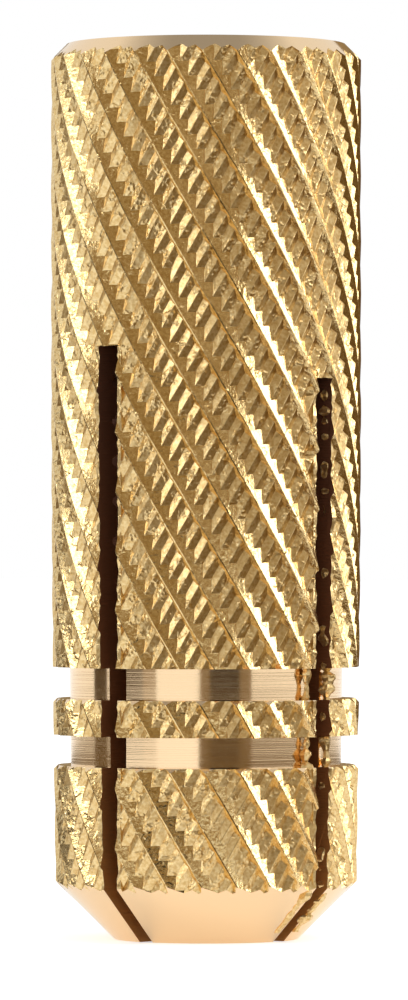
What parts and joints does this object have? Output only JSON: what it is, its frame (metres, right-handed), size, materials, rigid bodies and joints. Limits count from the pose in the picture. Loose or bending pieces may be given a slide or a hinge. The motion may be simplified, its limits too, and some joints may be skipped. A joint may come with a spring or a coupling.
{
  "type": "brass expansion anchor",
  "caption": "Knurled brass sleeve with a threaded mouth, grooves near its chamfered nose and sawn fingers that the screw wedges open against a drilled hole.",
  "frame": {"origin": "centre of the nose's end face, on the sleeve's axis", "axes": "+Z along the axis from the nose to the threaded mouth; the deeper saw cut runs along Y, the shallower one along X"},
  "size_m": [0.0118, 0.0118, 0.034],
  "materials": {
    "brass": "bare bright brass, diamond knurled outside, turned in the grooves, chamfers and end faces"
  },
  "bodies": {
    "root": {"anchor_sleeve": "brass"}
  },
  "joints": []
}
